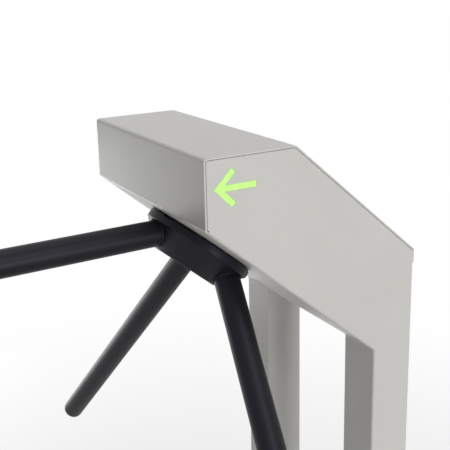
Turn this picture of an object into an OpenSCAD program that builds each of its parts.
// Tripod turnstile: a sloped sheet-metal cabinet on two rear legs, with a three-arm rotor.
// Origin: centre of the four floor anchor holes, on the floor. +X to the rear, +Z up.

/* [Cabinet] */
// Height of the level top above the floor
cabinet_h = 1000; // [940:10:1100]
// Width over the two side plates
cabinet_w = 290; // [282:1:340]
// Depth from the front face to the rear flange
cabinet_d = 290; // [284:1:320]
// Height of the upright front face
front_h = 77; // [70:1:84]
// Length of the level top, from the front face to the slope
top_l = 113; // [105:1:125]
// Drop from the top to the lower end of the slope
slope_drop = 152; // [140:1:156]
// Angle of the underside below level
underside_a = 40.25; // [38:0.25:41]
// Thickness of the sheet metal
sheet = 2; // [1.5:0.25:2.5]
// Outside radius of the bends in the cover
bend_r = 4; // [2.5:0.5:5]
// Height of the cover's rear flange
flange_h = 17; // [14:1:24]
// Seam between the cover and a side plate
seam = 0.6; // [0.3:0.1:1]
// Outside radius of the fold along a side plate's lower edge
fold_r = 3; // [3:0.5:5]

/* [Legs and base] */
// Depth of a leg, front to rear
leg_d = 60; // [50:1:66]
// Width of a leg
leg_w = 55; // [46:1:60]
// Radius of the corner where the underside meets a leg
corner_r = 5; // [3:0.5:8]
// Length of the base plate, front to rear
base_l = 240; // [230:5:280]
// Thickness of the base plate
base_t = 8; // [6:1:12]
// Base plate behind the legs
base_lip = 10; // [8:1:14]
// Distance between anchor holes, front to rear
anchor_x = 200; // [190:5:210]
// Distance between anchor holes, side to side
anchor_y = 140; // [110:5:145]
// Diameter of an anchor hole
anchor_d = 14; // [11:0.5:16]
// Bore of a cable grommet
cable_d = 22; // [16:1:26]

/* [Hub and arms] */
// Distance from the front edge to the hub axis, along the underside
hub_along = 95; // [92:1:98]
// Diameter of the hub
hub_d = 144; // [140:1:150]
// Height of the hub's upright wall
hub_wall = 10; // [8:1:12]
// Height of the whole hub
hub_h = 40; // [38:1:44]
// Diameter of the hub's flat end
hub_nose_d = 88; // [82:1:94]
// Gap between the hub and the underside
hub_gap = 1; // [0.8:0.1:2]
// Height of the notches in the hub's rim
notch_h = 2.3; // [1.5:0.1:3]
// Depth of the notches, towards the hub axis
notch_depth = 9; // [6:0.5:10]
// Outside diameter of an arm
arm_d = 32; // [28:1:34]
// Wall of an arm's tube
arm_wall = 2; // [1.5:0.25:3]
// Length of an arm outside the hub
arm_reach = 500; // [420:10:540]
// Height inside the underside at which the arm axes cross
apex_in = 24.6; // [23:0.1:26]

/* [Drive] */
// Diameter of the shaft
shaft_d = 30; // [28:1:30]
// Outside diameter of a bearing
bearing_od = 62; // [58:1:64]
// Width of a bearing
bearing_w = 16; // [14:1:17]
// Gap between the two bearings
bearing_gap = 16; // [12:1:18]
// Thickness of the mechanism plate
plate_t = 6; // [5:0.5:8]
// Gear module
gear_module = 2; // [1.9:0.05:2.05]
// Teeth of the rotor gear
rotor_teeth = 54; // [48:6:54]
// Teeth of the crank gear and of the damper pinion
pinion_teeth = 18; // [18:6:24]
// Width of a gear
gear_t = 8; // [6:0.5:9]
// Radius of the crank pin's circle
crank_throw = 14; // [12:0.5:15]
// Length of the return spring between its two pins
spring_l = 64; // [56:1:68]

/* [Locks] */
// Outside radius of a ratchet
ratchet_r = 48; // [46:0.5:50]
// Depth of a ratchet tooth
tooth_depth = 6; // [5:0.5:7]
// Teeth of a ratchet
ratchet_teeth = 12; // [12:12:12]
// Thickness of a ratchet and its pawl
ratchet_t = 6; // [5:0.5:7]
// Swing of a pawl from free to locked
pawl_swing = 11; // [10.5:0.25:12]
// Length of a pawl's tail, from its post to the plunger pin
tail_l = 28; // [26:1:30]
// Length of a solenoid
solenoid_l = 46; // [40:1:46]
// Width of a solenoid
solenoid_w = 40; // [34:1:42]
// Height of a solenoid
solenoid_h = 34; // [28:1:36]

/* [Direction arrow] */
// Length of the arrow
arrow_l = 46; // [38:1:52]
// Width of the arrow's bars
arrow_w = 6.3; // [5:0.1:8]
// Length of each bar of the arrow's head
arrow_head = 26; // [20:1:30]
// Distance from the front face to the arrow's point
arrow_front = 16; // [14:1:24]
// Distance from the top to the arrow's shaft
arrow_down = 34; // [32:1:38]

/* [Hidden] */
$fn = 96;

// Finishes, as the object shows them
paint = [0.78, 0.78, 0.76];
black = [0.13, 0.13, 0.14];
steel = [0.62, 0.63, 0.65];
zinc = [0.72, 0.72, 0.68];
brass = [0.78, 0.66, 0.38];
rubber = [0.08, 0.08, 0.08];
lens_green = [0.72, 1, 0.5];
board_green = [0.1, 0.42, 0.2];
copper = [0.72, 0.42, 0.22];

// Clearances
fit = 0.02;
run = 0.05;
clear = 0.3;

// Cabinet outline, seen from the near side
rear_x = base_l / 2 - base_lip;
front_x = rear_x - cabinet_d;
skin_x = rear_x - sheet;
leg_x = rear_x - leg_d;
side_y = cabinet_w / 2;
leg_in_y = side_y - leg_w;
front_low_z = cabinet_h - front_h;
slope_end_z = cabinet_h - slope_drop;
flange_low_z = slope_end_z - flange_h;
under_z = front_low_z - (leg_x - front_x) * tan(underside_a);
plate_inset = sheet + seam;
slope_a = atan(slope_drop / (cabinet_d - top_l));
function slope_z(x) = cabinet_h - (x - front_x - top_l) * tan(slope_a) - plate_inset / cos(slope_a);
wall_top_z = slope_z(skin_x) - 2;
weld_lap = 6;

// Hub axis, where it leaves the underside
axis_x = front_x + hub_along * cos(underside_a);
axis_z = front_low_z - hub_along * sin(underside_a);

// Arms lean from the hub axis so that the blocking arm is level
arm_a = 90 - underside_a;
arm_turns = [180, 60, -60];
hub_cone_run = hub_d / 2 - hub_nose_d / 2;
hub_cone_h = hub_h - hub_wall - hub_gap;
hub_wall_z = -hub_gap - hub_wall;
cone_slope = hub_cone_h / hub_cone_run;
arm_cone_r = (hub_d / 2 * cone_slope - hub_wall_z + apex_in) / (1 / tan(arm_a) + cone_slope);
arm_out = arm_cone_r / sin(arm_a);
socket_from = (apex_in + hub_gap + 2 + arm_d / 2 * sin(arm_a)) / cos(arm_a);
bolt_head_l = 5;
bolt_head_d = 13;
arm_bolt_d = 8;
plug_l = 20;
head_from = (apex_in + hub_gap + 0.5 + bolt_head_d / 2 * sin(arm_a)) / cos(arm_a);
web_t = socket_from - head_from - bolt_head_l;
pocket_r = bolt_head_d / 2 + 1;
seal_t = 1.6;
seal_deep = 2;

// Levels above the underside, along the hub axis
plate_z = sheet + fit;
plate_top = plate_z + plate_t;
ear_t = 8;
lip_t = 4;
lower_z = plate_top + lip_t;
upper_z = lower_z + bearing_w + bearing_gap;
housing_top = upper_z + bearing_w;
cap_t = 3;
gear_z = housing_top + 2 * cap_t;
gear_top = gear_z + gear_t;
in_z = gear_top + 4;
in_top = in_z + ratchet_t;
out_z = in_top + 2;
out_top = out_z + ratchet_t;
disc_z = out_top + 5;
disc_t = 2;
disc_r = ratchet_r - 8;
nut_z = disc_z + disc_t;
nut_h = 8;
shaft_top = nut_z + nut_h + 3;
shaft_low = 17 - hub_h;
boss_r = shaft_d / 2 + 7;
hub_boss_r = shaft_d / 2 + 4;
hub_boss_top = plate_top - 1;
passage_r = 24;

// Bearing parts
bearing_ring = 5;
ball_d = 9;
ball_count = 9;
housing_wall = 5;
housing_r = bearing_od / 2 + housing_wall;
ear_r = 9;
ear_reach = housing_r + 12;

// Gears
mesh = gear_module * (rotor_teeth + pinion_teeth) / 2;
lash = 0.12;
damper_turn = 120;
crank_at = [mesh, 0];
damper_at = mesh * [cos(damper_turn), sin(damper_turn)];
crank_post_d = 12;
crank_pin_d = 8;
crank_disc_t = 4;
crank_disc_r = crank_throw + crank_pin_d / 2 + 1.2;
crank_step_r = gear_module * (pinion_teeth / 2 - 1.25) - clear;
crank_pin_top = in_z + 14;
spring_level = in_z + 7;
spring_at = [mesh + crank_throw + spring_l, 0];
spring_wire = 1.6;
spring_coil_r = 5.5;
spring_turns = 12;
damper_r = 22;
damper_shaft_d = 10;
damper_top = housing_top - 2;
damper_shaft_l = 24;

// Pawls: the near pawl works on the lower ratchet and the far pawl on the upper one
root_r = ratchet_r - tooth_depth;
pitch_a = 360 / ratchet_teeth;
face_a = -96;
face_gap = 0.4;
pawl_at = [ratchet_r - 2, -ratchet_r];
pawl_ring_r = 10;
post_d = 10;
tail_w = 12;
link_pin_d = 4;
pin_x = pawl_at[0] + tail_l * cos(pawl_swing / 2);
pin_rest_y = pawl_at[1] + tail_l * sin(pawl_swing / 2);
plunger_d = 14;
fork_reach = 8;
solenoid_face_y = pawl_at[1] - 40;
plunger_end_y = solenoid_face_y - 24;
plunger_stroke = 2 * tail_l * sin(pawl_swing / 2);
collar_y = pawl_at[1] - 14;
collar_t = 2;
levels = [in_z + ratchet_t / 2, out_z + ratchet_t / 2];

// Rear bay
board_t = 1.6;
board_gap = 10;
board_w = 160;
board_h = min(80, wall_top_z - under_z - 24);
bay_floor_z = under_z + sheet;
screw_d = 5;
screw_head_d = 9.5;
screw_head_t = 2.6;

// Geometry helpers
function unit(v) = v / norm(v);
function polar(r, a) = [r * cos(a), r * sin(a)];
function right_of(a, b) = let (u = unit(b - a)) [u[1], -u[0]];

// Points of a corner rounded to radius r
function corner_arc(a, b, c, r, n) =
    r <= 0 ? [b] :
    let (u = unit(a - b), v = unit(c - b), half = acos(u * v) / 2, sweep = 180 - 2 * half)
    let (centre = b + unit(u + v) * r / sin(half))
    let (p = b + u * r / tan(half) - centre, q = b + v * r / tan(half) - centre)
    [for (i = [0:n]) centre + (p * sin((1 - i / n) * sweep) + q * sin(i / n * sweep)) / sin(sweep)];

// A closed outline, or an open path, with each corner rounded to its own radius
function rounded(pts, radii, n = 8) = let (k = len(pts))
    [for (i = [0:k - 1]) each corner_arc(pts[(i + k - 1) % k], pts[i], pts[(i + 1) % k], radii[i], n)];
function rounded_path(pts, radii, n = 8) = let (k = len(pts))
    [for (i = [0:k - 1])
        each (i == 0 || i == k - 1 ? [pts[i]] : corner_arc(pts[i - 1], pts[i], pts[i + 1], radii[i], n))];

// A path moved sideways by t, to the right of its direction
function shifted(path, t) = let (k = len(path))
    [for (i = [0:k - 1])
        let (n1 = i == 0 ? right_of(path[0], path[1]) : right_of(path[i - 1], path[i]))
        let (n2 = i == k - 1 ? n1 : right_of(path[i], path[i + 1]))
        path[i] + t * (n1 + n2) / (1 + n1 * n2)];
function reversed(list) = [for (i = [len(list) - 1:-1:0]) list[i]];

// The outline of a bent sheet: radii are those of the side that the path follows
function sheet_outline(path, radii, t) = let (inner = [for (r = radii) max(r - abs(t), 0)])
    concat(rounded_path(path, radii), reversed(rounded_path(shifted(path, t), inner)));
function concave_outline(path, radii, t) = let (outer = [for (r = radii) r + abs(t)])
    concat(rounded_path(path, radii), reversed(rounded_path(shifted(path, t), outer)));

// Extrudes a shape drawn in X and Z from y0 to y1
module across(y0, y1) {
    translate([0, y1, 0]) rotate([90, 0, 0]) linear_extrude(y1 - y0) children();
}

// The hub's own frame: +Z runs along the hub axis into the cabinet, +X down the underside
module at_axis() {
    translate([axis_x, 0, axis_z]) rotate([0, underside_a, 0]) children();
}

// An arm's own frame: +Z runs outwards along the arm from the point where the arm axes cross
module along_arm(turn) {
    at_axis() translate([0, 0, apex_in]) rotate([0, 0, turn]) rotate([0, 180 - arm_a, 0]) children();
}

module tube_between(z0, z1, r_out, r_in) {
    difference() {
        translate([0, 0, z0]) cylinder(h = z1 - z0, r = r_out);
        translate([0, 0, z0 - 1]) cylinder(h = z1 - z0 + 2, r = r_in);
    }
}

module hexagon(h, across_flats) {
    cylinder(h = h, d = across_flats / cos(30), $fn = 6);
}

// A round wire along a list of points, its section carried along without twisting
function carried(r, t) = unit(r - (r * t) * t);
module wire(pts, radius, sides = 6) {
    k = len(pts);
    dirs = [for (i = [0:k - 1]) unit(pts[min(i + 1, k - 1)] - pts[max(i - 1, 0)])];
    first = carried(abs(dirs[0][2]) < 0.9 ? [0, 0, 1] : [1, 0, 0], dirs[0]);
    norms = [for (i = 0, r = first; i < k; i = i + 1, r = carried(r, dirs[min(i, k - 1)])) r];
    rings = [for (i = [0:k - 1]) for (j = [0:sides - 1]) let (a = 360 * j / sides)
        pts[i] + radius * (cos(a) * norms[i] + sin(a) * cross(dirs[i], norms[i]))];
    walls = [for (i = [0:k - 2]) for (j = [0:sides - 1])
        let (a = i * sides + j, b = i * sides + (j + 1) % sides)
        each [[a, a + sides, b], [b, a + sides, b + sides]]];
    start_cap = [for (j = [1:sides - 2]) [0, j, j + 1]];
    last = (k - 1) * sides;
    end_cap = [for (j = [1:sides - 2]) [last, last + j + 1, last + j]];
    polyhedron(points = rings, faces = concat(walls, start_cap, end_cap));
}

// Cabinet

// The foot of the cover's front turns under in a short lip, along the slope of the underside
cover_lip = bend_r * tan((90 - underside_a) / 2) + 0.2;
function on_underside(along) = [front_x + along * cos(underside_a), front_low_z - along * sin(underside_a)];
cover_path = [on_underside(cover_lip), on_underside(0), [front_x, cabinet_h], [front_x + top_l, cabinet_h],
    [rear_x, slope_end_z], [rear_x, flange_low_z]];
cover_radii = [0, bend_r, bend_r, bend_r, bend_r, 0];

module top_cover() color(paint) difference() {
    across(-side_y, side_y) polygon(sheet_outline(cover_path, cover_radii, sheet));
    for (y = flange_screw_ys) screw_hole(y, flange_low_z + flange_h / 2, screw_d / 2 + clear);
}

// The side plate's flat part, inside the cover's edge and above the fold
plate_line = shifted(cover_path, plate_inset);
flat_from = fold_r + 0.5;
function fold_z(x) = front_low_z + flat_from / cos(underside_a) - (x - front_x) * tan(underside_a);
side_points = [[front_x + plate_inset, fold_z(front_x + plate_inset)], plate_line[2], plate_line[3],
    [skin_x, slope_z(skin_x)], [skin_x, base_t], [leg_x + flat_from, base_t],
    [leg_x + flat_from, fold_z(leg_x + flat_from)]];
side_radii = [0, bend_r - plate_inset, bend_r - plate_inset, bend_r, 0, 0, corner_r + flat_from];

// Section of the fold: x from the lower edge, y from the side plate's outer face
module fold_profile() {
    polygon(sheet_outline([[0, fold_r], [0, 0], [fold_r + 1, 0]], [0, fold_r, 0], -sheet));
}

corner_x = leg_x - corner_r;
corner_z = under_z + corner_r * tan(underside_a) - corner_r / cos(underside_a);

module side_fold() {
    translate([leg_x, -side_y, base_t]) linear_extrude(corner_z - base_t) fold_profile();
    translate([corner_x, -side_y, corner_z]) rotate([90, 0, 0]) rotate_extrude(angle = 90 - underside_a)
        mirror([0, 1]) translate([corner_r, 0]) fold_profile();
    slope_from = [corner_x + corner_r * sin(underside_a), corner_z + corner_r * cos(underside_a)];
    slope_l = (slope_from[0] - front_x) / cos(underside_a) - cover_lip - seam;
    translate([slope_from[0], -side_y, slope_from[1]]) rotate([0, underside_a - 90, 0])
        linear_extrude(slope_l) fold_profile();
}

module side_plate() {
    difference() {
        across(-side_y, sheet - side_y) polygon(rounded(side_points, side_radii));
        translate([0, -side_y, 0]) arrow_at() translate([0, 0, -1]) linear_extrude(sheet + 2) arrow(clear);
    }
    side_fold();
}

module near_side() color(paint) side_plate();
module far_side() color(paint) mirror([0, 1, 0]) side_plate();

// A leg: a channel of front, inner and rear walls, closed by the side plate
module leg() {
    front_path = [[leg_x, base_t], [leg_x, under_z], lap_point];
    across(fold_r - side_y, -leg_in_y) polygon(concave_outline(front_path, [0, corner_r, 0], sheet));
    translate([leg_x + sheet, -leg_in_y - sheet, base_t])
        cube([skin_x - leg_x - 2 * sheet, sheet, bay_floor_z - base_t]);
    difference() {
        translate([skin_x - sheet, sheet - side_y, base_t])
            cube([sheet, leg_w - sheet, wall_top_z - base_t]);
        for (y = flange_screw_ys) screw_hole(y, flange_low_z + flange_h / 2, screw_d / 2 + run);
        for (z = panel_screw_zs) screw_hole(-panel_screw_y, z, screw_d / 2 + run);
    }
}
lap_point = [leg_x - weld_lap * cos(underside_a), under_z + weld_lap * sin(underside_a)];

module near_leg() color(paint) leg();
module far_leg() color(paint) mirror([0, 1, 0]) leg();

// The underside: a sloped part between the side folds, then a level strip between the legs
module underside_panel() color(paint) difference() {
    union() {
        across(fold_r - side_y, side_y - fold_r)
            polygon(sheet_outline([on_underside(cover_lip + seam), lap_point], [0, 0], -sheet));
        strip = [lap_point, [leg_x, under_z], [skin_x, under_z]];
        across(-leg_in_y, leg_in_y) polygon(sheet_outline(strip, [0, 0, 0], -sheet));
    }
    at_axis() translate([0, 0, -1]) cylinder(h = sheet + 2, r = passage_r + 2);
}

// The rear panel closes the head between the legs and overlaps their rear walls
panel_w = 2 * leg_in_y + 28;
panel_low_z = under_z;
panel_screw_y = leg_in_y + 7;
panel_screw_zs = [panel_low_z + 14, flange_low_z - 14];
flange_screw_ys = [-side_y + 12, -leg_in_y - 12, leg_in_y + 12, side_y - 12];
module rear_panel() color(paint) difference() {
    translate([skin_x, -panel_w / 2, panel_low_z]) cube([sheet, panel_w, flange_low_z - seam - panel_low_z]);
    for (y = [-panel_screw_y, panel_screw_y]) for (z = panel_screw_zs) screw_hole(y, z, screw_d / 2 + clear);
}

module screw_hole(y, z, r) translate([rear_x - 12, y, z]) rotate([0, 90, 0]) cylinder(h = 24, r = r);

module casing_screw(y, z) translate([rear_x, y, z]) rotate([0, 90, 0]) difference() {
    union() {
        rotate_extrude() polygon(rounded([[0, 0], [screw_head_d / 2, 0], [screw_head_d / 2 - 1, screw_head_t],
            [0, screw_head_t]], [0, 0, 1.2, 0], 4));
        translate([0, 0, -3 * sheet]) cylinder(h = 3 * sheet + 0.5, d = screw_d);
    }
    translate([0, 0, screw_head_t - 1.6]) hexagon(3, 3);
}

module casing_screws() color(zinc) {
    for (y = flange_screw_ys) casing_screw(y, flange_low_z + flange_h / 2);
    for (y = [-panel_screw_y, panel_screw_y]) for (z = panel_screw_zs) casing_screw(y, z);
}

// Base plate with floor anchor holes, and a cable hole under each leg
cable_x = leg_x + leg_d / 2;
cable_y = side_y - leg_w / 2;
grommet_r = cable_d / 2 + 4;
module base_plate() color(paint) difference() {
    translate([-base_l / 2, -side_y, 0]) linear_extrude(base_t)
        polygon(rounded([[0, 0], [base_l, 0], [base_l, cabinet_w], [0, cabinet_w]], [12, 12, 12, 12]));
    for (x = [-anchor_x / 2, anchor_x / 2]) for (y = [-anchor_y / 2, anchor_y / 2])
        translate([x, y, -1]) cylinder(h = base_t + 2, d = anchor_d);
    for (y = [-cable_y, cable_y]) translate([cable_x, y, -1]) cylinder(h = base_t + 2, r = grommet_r);
}

module cable_grommets() color(rubber) for (y = [-cable_y, cable_y]) translate([cable_x, y, 0]) {
    difference() {
        union() {
            translate([0, 0, 0.5]) cylinder(h = base_t - 0.5, r = grommet_r - run);
            translate([0, 0, base_t]) cylinder(h = 2, r = grommet_r + 3);
        }
        translate([0, 0, -1]) cylinder(h = base_t + 4, d = cable_d);
    }
}

// Direction arrow, drawn with its point at the origin
module arrow(extra) {
    w = arrow_w + 2 * extra;
    for (turn = [-45, 45]) rotate(turn) translate([-w / 2, -w / 2]) square([arrow_head + extra + w / 2, w]);
    translate([0, -w / 2]) square([arrow_l + extra, w]);
}

// The arrow's place on the near side: +Z points into the cabinet
module arrow_at() {
    translate([front_x + arrow_front, 0, cabinet_h - arrow_down]) rotate([-90, 0, 0]) children();
}

lens_lip = 1;
module arrow_lenses() color(lens_green) for (m = [0, 1]) mirror([0, m, 0])
    translate([0, -side_y, 0]) arrow_at() {
        linear_extrude(sheet) arrow(0);
        translate([0, 0, sheet]) linear_extrude(lens_lip) arrow(2);
    }

led_gap = 5;
led_pitch = 8;
led_d = 4;
arrow_board_w = 36;
arrow_post_d = 5;
module led() cylinder(h = led_gap - 1, d = led_d, $fn = 24);
module arrow_boards() color(board_green) for (m = [0, 1]) mirror([0, m, 0])
    translate([0, -side_y, 0]) arrow_at() translate([0, 0, sheet + lens_lip]) {
        translate([-2, -arrow_board_w / 2, led_gap]) cube([arrow_l + 4, arrow_board_w, board_t]);
        for (x = [2:led_pitch:arrow_l - 4]) translate([x, 0, 1]) led();
        for (x = [led_pitch + 2:led_pitch:arrow_head - led_d]) for (s = [-1, 1])
            translate([x * cos(45), s * x * sin(45), 1]) led();
        for (x = [1, arrow_l - 1]) for (s = [-1, 1]) translate([x, s * (arrow_board_w / 2 - 3), -lens_lip])
            cylinder(h = led_gap + lens_lip, d = arrow_post_d, $fn = 24);
    }

// Mechanism plate and what stands on it

plate_front = -66;
plate_rear = spring_at[0] + 18;
plate_half_w = side_y - fold_r - 10;
stud_edge = 10;
stud_places = [for (x = [plate_front + stud_edge, plate_rear - stud_edge])
    for (y = [stud_edge - plate_half_w, plate_half_w - stud_edge]) [x, y]];
stud_d = 8;
module plate_hole(d) translate([0, 0, plate_z - 1]) cylinder(h = plate_t + 2, d = d);
module mechanism_plate() color(zinc) at_axis() difference() {
    translate([plate_front, -plate_half_w, plate_z])
        cube([plate_rear - plate_front, 2 * plate_half_w, plate_t]);
    plate_hole(2 * passage_r);
    for (p = stud_places) translate(p) plate_hole(stud_d + 1);
    for (a = ear_turns) rotate(a) translate([ear_reach, 0]) plate_hole(stud_d + fit);
}

// Studs welded to the underside, each with a nut
module plate_studs() color(steel) at_axis() for (p = stud_places) translate([p[0], p[1], sheet]) {
    cylinder(h = fit + plate_t + 12, d = stud_d);
    translate([0, 0, fit + plate_t]) hexagon(6.5, 13);
}

ear_turns = [60, 180, 300];
module bearing_housing() color(steel) at_axis() difference() {
    union() {
        translate([0, 0, plate_top]) cylinder(h = housing_top - plate_top, r = housing_r);
        for (a = ear_turns) rotate(a) translate([0, 0, plate_top]) {
            translate([housing_r - housing_wall / 2, 0.5 - ear_r, 0])
                cube([ear_reach - housing_r + housing_wall / 2, 2 * ear_r - 1, ear_t]);
            translate([ear_reach, 0, 0]) cylinder(h = ear_t, r = ear_r);
        }
    }
    translate([0, 0, plate_top - 1]) cylinder(h = lip_t + 2, r = passage_r + 2);
    translate([0, 0, lower_z]) cylinder(h = housing_top, r = bearing_od / 2);
    for (a = ear_turns) rotate(a) translate([ear_reach, 0, plate_top - 1])
        cylinder(h = ear_t + 2, d = stud_d + 1);
}

module housing_bolts() color(steel) at_axis() for (a = ear_turns) rotate(a) translate([ear_reach, 0, 0]) {
    translate([0, 0, plate_z]) cylinder(h = plate_t + ear_t + 1, d = stud_d);
    translate([0, 0, plate_top + ear_t]) hexagon(5.5, 13);
}

// Rolling bearing: an outer ring with balls, and an inner ring that turns with the shaft
ball_r = (shaft_d / 2 + bearing_od / 2) / 2;
module ball_track() translate([0, 0, bearing_w / 2]) rotate_extrude() translate([ball_r, 0])
    circle(d = ball_d + 0.2, $fn = 48);

module bearing_outer(z) translate([0, 0, z]) {
    difference() {
        tube_between(0, bearing_w, bearing_od / 2 - fit, bearing_od / 2 - bearing_ring);
        ball_track();
    }
    for (i = [0:ball_count - 1]) rotate(i * 360 / ball_count) translate([ball_r, 0, bearing_w / 2])
        sphere(d = ball_d, $fn = 32);
}

module bearing_inner(z) translate([0, 0, z]) difference() {
    tube_between(0, bearing_w, shaft_d / 2 + bearing_ring, shaft_d / 2 + fit);
    ball_track();
}

module lower_bearing() color(steel) at_axis() bearing_outer(lower_z);
module upper_bearing() color(steel) at_axis() bearing_outer(upper_z);
module bearing_inner_rings() color(steel) at_axis() {
    bearing_inner(lower_z);
    bearing_inner(upper_z);
}

module bearing_spacer() color(zinc) at_axis()
    tube_between(lower_z + bearing_w, upper_z, bearing_od / 2 - fit, bearing_od / 2 - 4);

module bearing_cap() color(zinc) at_axis() difference() {
    tube_between(housing_top, housing_top + cap_t, housing_r, shaft_d / 2 + bearing_ring + 2);
    for (a = [30:120:270]) rotate(a) translate([bearing_od / 2 + 2.5, 0, housing_top + cap_t - 1])
        cylinder(h = 2, d = 3);
}

// A post for each pawl, with a shoulder under the pawl and a clip above it
module pawl_post(level) translate([pawl_at[0], pawl_at[1], plate_top]) {
    shoulder = level - ratchet_t / 2 - clear - plate_top;
    cylinder(h = shoulder, d = post_d + 4);
    cylinder(h = shoulder + ratchet_t + 4, d = post_d);
}

module pawl_posts() color(steel) at_axis() {
    pawl_post(levels[0]);
    mirror([0, 1, 0]) pawl_post(levels[1]);
}

clip_t = 1.2;
module clip(x, y, z, d) translate([x, y, 0]) tube_between(z, z + clip_t, d / 2 + 3, d / 2 + fit);
module retaining_clips() color(steel) at_axis() {
    clip(pawl_at[0], pawl_at[1], levels[0] + ratchet_t / 2 + clear, post_d);
    clip(pawl_at[0], -pawl_at[1], levels[1] + ratchet_t / 2 + clear, post_d);
    clip(crank_at[0], crank_at[1], gear_top + crank_disc_t + clear, crank_post_d);
}

module crank_post() color(steel) at_axis() translate([crank_at[0], crank_at[1], plate_top]) {
    cylinder(h = gear_z - clear - plate_top, d = crank_post_d + 8);
    cylinder(h = gear_top + crank_disc_t + clear + clip_t + 1 - plate_top, d = crank_post_d);
}

module spring_post() color(steel) at_axis() translate([spring_at[0], spring_at[1], plate_top]) {
    cylinder(h = spring_level - 6 - plate_top, d = crank_pin_d + 8);
    cylinder(h = crank_pin_top - plate_top, d = crank_pin_d);
}

// Return spring: a loop round the crank pin, the coils, and a loop round the post
loop_r = crank_pin_d / 2 + clear + spring_wire / 2;
coil_from = loop_r + 4;
coil_l = spring_l - 2 * coil_from;
function loop_points(x, flip) = [for (a = [50:20:330]) concat([x, 0] + flip * polar(loop_r, a), 0)];
function coil_points(n) = [for (i = [0:n]) let (s = i / n, r = spring_coil_r * min(1, 8 * s, 8 * (1 - s)))
    [coil_from + coil_l * s, -r * cos(360 * spring_turns * s), r * sin(360 * spring_turns * s)]];
module return_spring() color(steel) at_axis() translate([mesh + crank_throw, 0, spring_level])
    wire(concat(loop_points(0, 1), coil_points(spring_turns * 10), reversed(loop_points(spring_l, -1))),
        spring_wire / 2);

// Rotary damper, driven by its pinion
module damper_body() color(black) at_axis() translate([damper_at[0], damper_at[1], 0]) difference() {
    union() {
        translate([0, 0, plate_top]) cylinder(h = damper_top - 4 - plate_top, r = damper_r);
        translate([0, 0, plate_top]) cylinder(h = damper_top - plate_top, r = damper_r - 10);
    }
    translate([0, 0, damper_top - damper_shaft_l - 2])
        cylinder(h = damper_shaft_l + 6, d = damper_shaft_d + 2 * run);
}

// Solenoids stand on brackets beside the pawls' tails
module solenoid(level) translate([pin_x, 0, level]) difference() {
    union() {
        translate([-solenoid_w / 2, solenoid_face_y - solenoid_l, -solenoid_h / 2])
            cube([solenoid_w, 3, solenoid_h]);
        translate([-solenoid_w / 2, solenoid_face_y - 3, -solenoid_h / 2]) cube([solenoid_w, 3, solenoid_h]);
        translate([-solenoid_w / 2, solenoid_face_y - solenoid_l, -solenoid_h / 2])
            cube([solenoid_w, solenoid_l, 3]);
        translate([0, solenoid_face_y - 1, 0]) rotate([90, 0, 0])
            cylinder(h = solenoid_l - 2, r = solenoid_h / 2 - 3.5);
    }
    translate([0, solenoid_face_y + 1, 0]) rotate([90, 0, 0])
        cylinder(h = solenoid_l - 9, d = plunger_d + 0.4);
}

module near_solenoid() color(copper) at_axis() solenoid(levels[0]);
module far_solenoid() color(copper) at_axis() mirror([0, 1, 0]) solenoid(levels[1]);

module solenoid_bracket(level) {
    top = level - solenoid_h / 2;
    mid_y = solenoid_face_y - solenoid_l / 2;
    translate([pin_x - solenoid_w / 2, mid_y - 15, top - 3]) cube([solenoid_w, 30, 3]);
    for (s = [-1, 1]) {
        translate([pin_x + s * (solenoid_w / 2 - 1.5) - 1.5, mid_y - 15, plate_top])
            cube([3, 30, top - plate_top]);
        translate([pin_x + s * (solenoid_w / 2 + 5) - 6, mid_y - 15, plate_top]) cube([12, 30, 3]);
    }
}

module solenoid_brackets() color(zinc) at_axis() {
    solenoid_bracket(levels[0]);
    mirror([0, 1, 0]) solenoid_bracket(levels[1]);
}

// A plunger: a fork with a link pin, a collar for its spring, and the core
module plunger(level) translate([pin_x, 0, level]) {
    difference() {
        translate([0, pin_rest_y + fork_reach, 0]) rotate([90, 0, 0])
            cylinder(h = pin_rest_y + fork_reach - plunger_end_y, d = plunger_d);
        translate([-plunger_d, pin_rest_y - fork_reach, -ratchet_t / 2 - clear])
            cube([2 * plunger_d, 2 * fork_reach + 1, ratchet_t + 2 * clear]);
    }
    translate([0, pin_rest_y, -plunger_d / 2]) cylinder(h = plunger_d, d = link_pin_d, $fn = 32);
    translate([0, collar_y, 0]) rotate([90, 0, 0]) cylinder(h = collar_t, d = plunger_d + 8);
}

module near_plunger() color(steel) at_axis() plunger(levels[0]);
module far_plunger() color(steel) at_axis() mirror([0, 1, 0]) plunger(levels[1]);

// Plunger spring, between the collar and the solenoid's face
plunger_wire = 1.2;
plunger_coil_r = plunger_d / 2 + 2.2;
plunger_turns = 6;
module plunger_spring(level) {
    from_y = collar_y - collar_t - clear - plunger_wire / 2;
    to_y = solenoid_face_y + clear + plunger_wire / 2;
    n = plunger_turns * 12;
    translate([pin_x, 0, level]) wire([for (i = [0:n])
        [plunger_coil_r * cos(360 * plunger_turns * i / n), from_y + (to_y - from_y) * i / n,
            plunger_coil_r * sin(360 * plunger_turns * i / n)]], plunger_wire / 2);
}

module near_plunger_spring() color(steel) at_axis() plunger_spring(levels[0]);
module far_plunger_spring() color(steel) at_axis() mirror([0, 1, 0]) plunger_spring(levels[1]);

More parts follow.
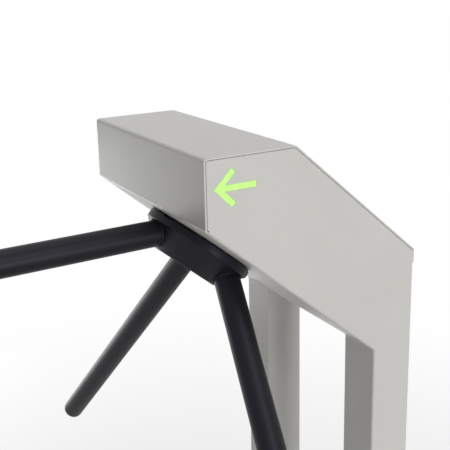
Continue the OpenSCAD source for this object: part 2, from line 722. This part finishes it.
// A pawl, drawn locked and then turned back to its free place
slot_half = 0.8;
nose_side = face_gap * [-sin(face_a), cos(face_a)];
pawl_outline = [
    polar(root_r + 0.6, face_a) + nose_side,
    polar(ratchet_r + 4, face_a) + nose_side,
    polar(ratchet_r + 9, face_a + 3),
    pawl_at + [0, -pawl_ring_r + 1],
    pawl_at + [-4, pawl_ring_r - 1],
    polar(ratchet_r + 4.3, face_a + 31),
    polar(ratchet_r + 2.5, face_a + 12),
    polar(root_r + 2, face_a + 9.9)];
module pawl(level) {
    translate([pawl_at[0], pawl_at[1], level - ratchet_t / 2]) rotate(pawl_swing) difference() {
        union() {
            cylinder(h = ratchet_t, r = pawl_ring_r);
            translate([-pawl_at[0], -pawl_at[1], 0]) linear_extrude(ratchet_t) polygon(pawl_outline);
            rotate(-pawl_swing / 2) {
                translate([0, -tail_w / 2, 0]) cube([tail_l, tail_w, ratchet_t]);
                translate([tail_l, 0, 0]) cylinder(h = ratchet_t, d = tail_w);
            }
        }
        translate([0, 0, -1]) cylinder(h = ratchet_t + 2, d = post_d + 2 * run);
        rotate(-pawl_swing / 2) translate([0, 0, -1]) {
            for (s = [-1, 1]) translate([tail_l + s * slot_half, 0, 0])
                cylinder(h = ratchet_t + 2, d = link_pin_d + 2 * clear);
            translate([tail_l - slot_half, -link_pin_d / 2 - clear, 0])
                cube([2 * slot_half, link_pin_d + 2 * clear, ratchet_t + 2]);
        }
    }
}

module near_pawl() color(steel) at_axis() pawl(levels[0]);
module far_pawl() color(steel) at_axis() mirror([0, 1, 0]) pawl(levels[1]);

// Position sensors: three slotted forks that read the disc
board_level = disc_z + 9;
bracket_x = -gear_module * (rotor_teeth / 2 + 1);
bracket_y = 34;
bracket_edge = 8;
module sensor_bracket() color(zinc) at_axis() {
    for (s = [-1, 1]) translate([bracket_x, s * bracket_y, plate_top])
        cylinder(h = board_level - plate_top, d = bracket_edge);
    translate([bracket_x - bracket_edge, -bracket_y - bracket_edge, board_level])
        cube([bracket_edge + 12 - bracket_x - disc_r, 2 * (bracket_y + bracket_edge), board_t]);
}

fork_turns = [150, 180, 210];
module sensor_forks() color(black) at_axis() for (a = fork_turns) rotate(a) difference() {
    translate([disc_r - 6, -3, out_top + 1.5]) cube([12, 6, board_level - out_top - 1.5]);
    translate([disc_r - 7, -4, disc_z - 1]) cube([9, 8, disc_t + 2]);
}

// Rear bay: control board, power supply and terminals

board_x = skin_x - board_gap;
board_low_z = bay_floor_z + 12;
board_edge = 7;
board_post_d = 6;
socket_pitch = 24;
socket_w = 18;
socket_h = 5;
chip_w = 20;
chip_h = 2;
relay_w = 15;
relay_l = 19;
relay_h = 4;
module control_board() color(board_green) {
    translate([board_x - board_t, -board_w / 2, board_low_z]) cube([board_t, board_w, board_h]);
    for (s = [-1, 1]) for (z = [board_edge, board_h - board_edge])
        translate([board_x - 0.01, s * (board_w / 2 - board_edge), board_low_z + z])
            rotate([0, 90, 0]) cylinder(h = board_gap + 0.01, d = board_post_d, $fn = 32);
    for (i = [-2.5:1:1.5]) on_board(i * socket_pitch, board_edge, [socket_h, socket_w, socket_w / 2]);
    on_board(-chip_w, board_h / 2, [chip_h, chip_w, chip_w]);
    on_board(relay_w, board_h / 2, [relay_h, relay_w, relay_l]);
}

// A block on the control board's front: size[0] stands off the board
module on_board(y, z, size) translate([board_x - board_t - size[0], y, board_low_z + z])
    cube(size + [0.01, 0, 0]);

supply_w = 100;
supply_h = 36;
supply_far_y = 30;
module power_supply() color(steel) translate([leg_x + sheet + 4, supply_far_y - supply_w, bay_floor_z])
    cube([board_x - leg_x - 20, supply_w, supply_h]);

terminal_d = 22;
terminal_h = 16;
terminal_pitch = 8;
module terminal_block() color(black)
translate([leg_x + sheet + 8, supply_far_y + 12, bay_floor_z]) difference() {
    cube([terminal_d, 5 * terminal_pitch, terminal_h]);
    for (i = [0:4]) translate([6, (i + 0.5) * terminal_pitch, terminal_h / 2])
        cylinder(h = terminal_h, d = terminal_pitch / 2, $fn = 24);
}

// Rotor

hub_profile = rounded(
    [[0, -hub_gap], [hub_d / 2, -hub_gap], [hub_d / 2, hub_wall_z], [hub_nose_d / 2, -hub_h], [0, -hub_h]],
    [0, 1, 2, 4, 0], 6);
well_r = passage_r + 0.3;
notch_from = 10;
notch_sweep = 40;
pocket_from = (hub_boss_r + 0.5 + pocket_r * cos(arm_a)) / sin(arm_a);
module hub() color(black) difference() {
    at_axis() union() {
        rotate_extrude() polygon(hub_profile);
        translate([0, 0, -hub_gap - 1]) cylinder(h = hub_gap + 1 + hub_boss_top, r = hub_boss_r);
    }
    at_axis() {
        translate([0, 0, shaft_low]) cylinder(h = 60, d = shaft_d + 2 * fit);
        translate([0, 0, -hub_h - 1]) cylinder(h = hub_h + 1 + shaft_low, r = well_r);
        for (a = arm_turns) rotate(a + notch_from) rotate_extrude(angle = notch_sweep)
            translate([hub_d / 2 - notch_depth, -hub_gap - notch_h]) square([notch_depth + 2, notch_h + 1]);
    }
    for (turn = arm_turns) along_arm(turn) {
        translate([0, 0, socket_from]) cylinder(h = 60, d = arm_d + 2 * fit);
        translate([0, 0, arm_out - seal_deep]) cylinder(h = 60, d = arm_d + 4);
        translate([0, 0, socket_from - web_t - 1]) cylinder(h = 20, d = arm_bolt_d + 2 * fit);
        translate([0, 0, pocket_from]) cylinder(h = socket_from - web_t - pocket_from, r = pocket_r);
    }
}

// The hub is held by a flanged bolt into the shaft, under a press-in cap that lies flush with its end
flange_t = 5;
module hub_bolt() color(steel) at_axis() {
    translate([0, 0, shaft_low - flange_t]) cylinder(h = flange_t, r = well_r - 0.5);
    translate([0, 0, shaft_low - flange_t - 7]) hexagon(7.01, 18);
    translate([0, 0, shaft_low - 0.01]) cylinder(h = 24, d = 12);
}

module hub_cap() color(black) at_axis() {
    rotate_extrude() polygon(rounded([[0, cap_t - hub_h], [well_r - fit, cap_t - hub_h],
        [well_r - fit, -hub_h], [0, -hub_h]], [0, 0, 0.8, 0], 4));
    tube_between(cap_t - hub_h - 0.01, cap_t - hub_h + 4, well_r - fit, well_r - 2.5);
}

tip_at = arm_out + arm_reach;
module arm(turn) color(black) along_arm(turn) {
    tube_between(socket_from, tip_at, arm_d / 2, arm_d / 2 - arm_wall);
    tube_between(socket_from, socket_from + plug_l, arm_d / 2 - arm_wall + 0.01, arm_bolt_d / 2 + fit);
}

module arm_1() arm(arm_turns[0]);
module arm_2() arm(arm_turns[1]);
module arm_3() arm(arm_turns[2]);

// Domed end caps, pressed into the tubes
module arm_caps() color(rubber) for (turn = arm_turns) along_arm(turn) translate([0, 0, tip_at]) {
    rotate_extrude() polygon(rounded([[0, 0], [arm_d / 2, 0], [arm_d / 2, 8], [0, 8]], [0, 0, 7, 0], 8));
    translate([0, 0, -14]) cylinder(h = 14.01, r = arm_d / 2 - arm_wall - fit);
}

module arm_bolts() color(steel) for (turn = arm_turns) along_arm(turn) {
    translate([0, 0, socket_from - web_t - bolt_head_l]) difference() {
        cylinder(h = bolt_head_l, d = bolt_head_d);
        translate([0, 0, -1]) hexagon(5, 8);
    }
    translate([0, 0, socket_from - web_t - 0.01]) cylinder(h = web_t + plug_l - 4, d = arm_bolt_d);
}

// A rubber ring in the mouth of each socket
module arm_seals() color(rubber) for (turn = arm_turns) along_arm(turn)
    translate([0, 0, arm_out - seal_deep + seal_t / 2 + 0.1]) rotate_extrude()
        translate([arm_d / 2 + 1, 0]) circle(d = seal_t, $fn = 32);

key_w = 8;
key_in = 11;
key_out = shaft_d / 2 + 3;
module shaft_key() color(steel) at_axis()
    keyway();

module keyway() translate([key_in, -key_w / 2, gear_z - 3])
    cube([key_out - key_in, key_w, out_top - gear_z + 3]);

module shaft() color(steel) at_axis() difference() {
    union() {
        translate([0, 0, shaft_low]) cylinder(h = shaft_top - shaft_low, d = shaft_d);
        translate([0, 0, hub_boss_top]) cylinder(h = lower_z - hub_boss_top, r = hub_boss_r);
        translate([0, 0, lower_z + bearing_w]) cylinder(h = bearing_gap, r = hub_boss_r);
    }
    keyway();
    translate([0, 0, shaft_low - 1]) cylinder(h = 26, d = 12 + 2 * fit);
}

// Involute gear: angles of a tooth's flank, and the outline of the whole gear
pressure_a = 20;
function involute(a) = tan(a) * 180 / PI - a;
function flank_angle(r, teeth) = let (pitch_r = gear_module * teeth / 2, base_r = pitch_r * cos(pressure_a))
    90 / teeth - lash * 180 / PI / pitch_r + involute(pressure_a) - involute(acos(base_r / r));
function gear_points(teeth, first_a, n = 5) = let (pitch_r = gear_module * teeth / 2)
    let (root = pitch_r - 1.25 * gear_module, tip = pitch_r + gear_module)
    let (from_r = max(root, pitch_r * cos(pressure_a) + 0.001))
    [for (k = [0:teeth - 1]) let (a = first_a + 360 * k / teeth) each concat(
        [polar(root, a - flank_angle(from_r, teeth))],
        [for (i = [0:n]) let (r = from_r + (tip - from_r) * i / n) polar(r, a - flank_angle(r, teeth))],
        [for (i = [n:-1:0]) let (r = from_r + (tip - from_r) * i / n) polar(r, a + flank_angle(r, teeth))],
        [polar(root, a + flank_angle(from_r, teeth))])];

// A tooth space of the rotor gear faces +X; a pinion at the angle beta meshes with its neighbour
rotor_pitch_a = 360 / rotor_teeth;
function mesh_angle(beta) = beta + 180 + (beta % rotor_pitch_a) * rotor_teeth / pinion_teeth;

module rotor_bore(z, h) translate([0, 0, z - 1]) cylinder(h = h + 2, d = shaft_d + 2 * fit);

module rotor_gear() color(steel) at_axis() difference() {
    union() {
        translate([0, 0, gear_z]) linear_extrude(gear_t) polygon(gear_points(rotor_teeth, rotor_pitch_a / 2));
        translate([0, 0, housing_top + 0.5]) cylinder(h = gear_z - housing_top, r = hub_boss_r);
        translate([0, 0, gear_z]) cylinder(h = in_z - gear_z, r = boss_r);
    }
    rotor_bore(housing_top, in_z - housing_top);
    keyway();
    for (a = [30:60:330]) rotate(a) translate([boss_r + 13, 0, gear_z - 1])
        cylinder(h = gear_t + 2, r = 8);
}

function ratchet_points() = [for (k = [0:ratchet_teeth - 1])
    each [polar(ratchet_r, face_a + pitch_a * k), polar(root_r, face_a + pitch_a * k)]];

module ratchet(z, next_z) difference() {
    union() {
        translate([0, 0, z]) linear_extrude(ratchet_t) polygon(ratchet_points());
        translate([0, 0, z]) cylinder(h = next_z - z, r = boss_r);
    }
    rotor_bore(z, next_z - z);
    keyway();
}

module ratchet_in() color(steel) at_axis() ratchet(in_z, out_z);
module ratchet_out() color(steel) at_axis() mirror([0, 1, 0]) ratchet(out_z, disc_z);

module sensor_disc() color(zinc) at_axis() difference() {
    translate([0, 0, disc_z]) cylinder(h = disc_t, r = disc_r);
    rotor_bore(disc_z, disc_t);
    for (a = [15, 135, 255]) rotate(a) translate([disc_r - 6, -6, disc_z - 1]) cube([12, 12, disc_t + 2]);
}

module shaft_nut() color(zinc) at_axis() difference() {
    translate([0, 0, nut_z]) hexagon(nut_h, shaft_d + 12);
    rotor_bore(nut_z, nut_h);
}

module pinion_at(place, beta, z) translate([place[0], place[1], z])
    linear_extrude(gear_t) polygon(gear_points(pinion_teeth, mesh_angle(beta)));

// Crank gear: a pinion with a disc and a pin for the return spring. A step keeps the disc off the rotor gear
module crank_gear() color(brass) at_axis() {
    difference() {
        union() {
            pinion_at(crank_at, 0, gear_z);
            translate([crank_at[0], crank_at[1], gear_top - 1]) cylinder(h = 2, r = crank_step_r);
            translate([crank_at[0], crank_at[1], gear_top + clear])
                cylinder(h = crank_disc_t - clear, r = crank_disc_r);
        }
        translate([crank_at[0], crank_at[1], gear_z - 1])
            cylinder(h = gear_t + crank_disc_t + 2, d = crank_post_d + 2 * run);
    }
    translate([crank_at[0] + crank_throw, crank_at[1], gear_top + crank_disc_t - 0.01])
        cylinder(h = crank_pin_top - gear_top - crank_disc_t, d = crank_pin_d);
}

module damper_pinion() color(brass) at_axis() {
    pinion_at(damper_at, damper_turn, gear_z);
    translate([damper_at[0], damper_at[1], damper_top - damper_shaft_l])
        cylinder(h = gear_z - damper_top + damper_shaft_l + 0.01, d = damper_shaft_d);
}

base_plate();
near_leg();
far_leg();
near_side();
far_side();
underside_panel();
top_cover();
rear_panel();
casing_screws();
arrow_lenses();
arrow_boards();
mechanism_plate();
plate_studs();
bearing_housing();
housing_bolts();
lower_bearing();
upper_bearing();
bearing_spacer();
bearing_cap();
pawl_posts();
retaining_clips();
near_solenoid();
far_solenoid();
solenoid_brackets();
crank_post();
spring_post();
return_spring();
near_plunger_spring();
far_plunger_spring();
damper_body();
sensor_bracket();
sensor_forks();
control_board();
power_supply();
terminal_block();
cable_grommets();
hub();
hub_bolt();
hub_cap();
arm_1();
arm_2();
arm_3();
arm_caps();
arm_bolts();
arm_seals();
shaft();
shaft_key();
bearing_inner_rings();
rotor_gear();
ratchet_in();
ratchet_out();
sensor_disc();
shaft_nut();
crank_gear();
damper_pinion();
near_pawl();
far_pawl();
near_plunger();
far_plunger();
